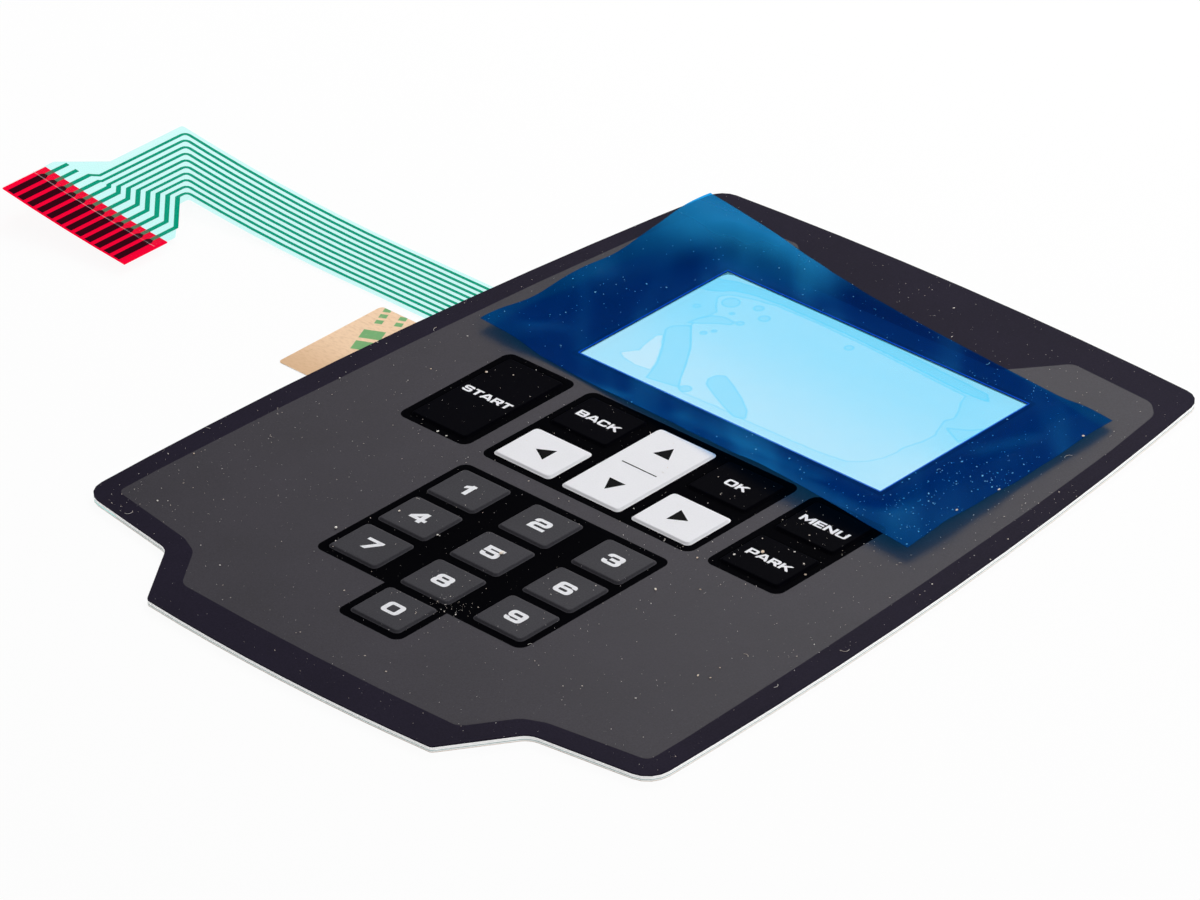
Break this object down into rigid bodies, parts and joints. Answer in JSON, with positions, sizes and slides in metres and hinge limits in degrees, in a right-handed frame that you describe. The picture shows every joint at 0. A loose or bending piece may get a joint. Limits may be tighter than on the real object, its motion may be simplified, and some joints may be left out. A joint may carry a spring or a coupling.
{
  "type": "membrane keypad",
  "caption": "Flat membrane keypad with embossed keys, a display window, metal snap domes and a printed flat tail with a contact end.",
  "frame": {"origin": "on the centreline at mid height of the keypad, on the rear face of the release liner", "axes": "+X across the keypad to the right as its legends read, +Y up the face to its top edge, +Z out of the face"},
  "size_m": [0.2177, 0.1667, 0.0057],
  "materials": {
    "kraft_liner": "matt coated kraft paper",
    "acrylic_adhesive": "clear tacky film",
    "circuit_polyester": "translucent pale cyan film",
    "track_ink": "printed conductive ink, carbon on the contacts",
    "clear_polyester": "clear film",
    "red_stiffener": "red film",
    "dome_steel": "bright stamped spring steel",
    "printed_polyester": "fine matt texture over print on the rear of the film",
    "blue_film": "glossy transparent blue film"
  },
  "bodies": {
    "root": {"release_liner": "kraft_liner", "rear_adhesive": "acrylic_adhesive", "circuit_film": "circuit_polyester", "conductor_01": "track_ink", "conductor_02": "track_ink", "conductor_03": "track_ink", "conductor_04": "track_ink", "conductor_05": "track_ink", "conductor_06": "track_ink", "conductor_07": "track_ink", "conductor_08": "track_ink", "conductor_09": "track_ink", "conductor_10": "track_ink", "conductor_11": "track_ink", "conductor_12": "track_ink", "tail_cover": "clear_polyester", "tail_stiffener": "red_stiffener", "dome_spacer": "clear_polyester", "dome_start": "dome_steel", "dome_back": "dome_steel", "dome_ok": "dome_steel", "dome_menu": "dome_steel", "dome_park": "dome_steel", "dome_up": "dome_steel", "dome_down": "dome_steel", "dome_left": "dome_steel", "dome_right": "dome_steel", "dome_0": "dome_steel", "dome_1": "dome_steel", "dome_2": "dome_steel", "dome_3": "dome_steel", "dome_4": "dome_steel", "dome_5": "dome_steel", "dome_6": "dome_steel", "dome_7": "dome_steel", "dome_8": "dome_steel", "dome_9": "dome_steel", "overlay_adhesive": "acrylic_adhesive", "graphic_overlay": "printed_polyester", "protective_film": "blue_film"}
  },
  "joints": []
}
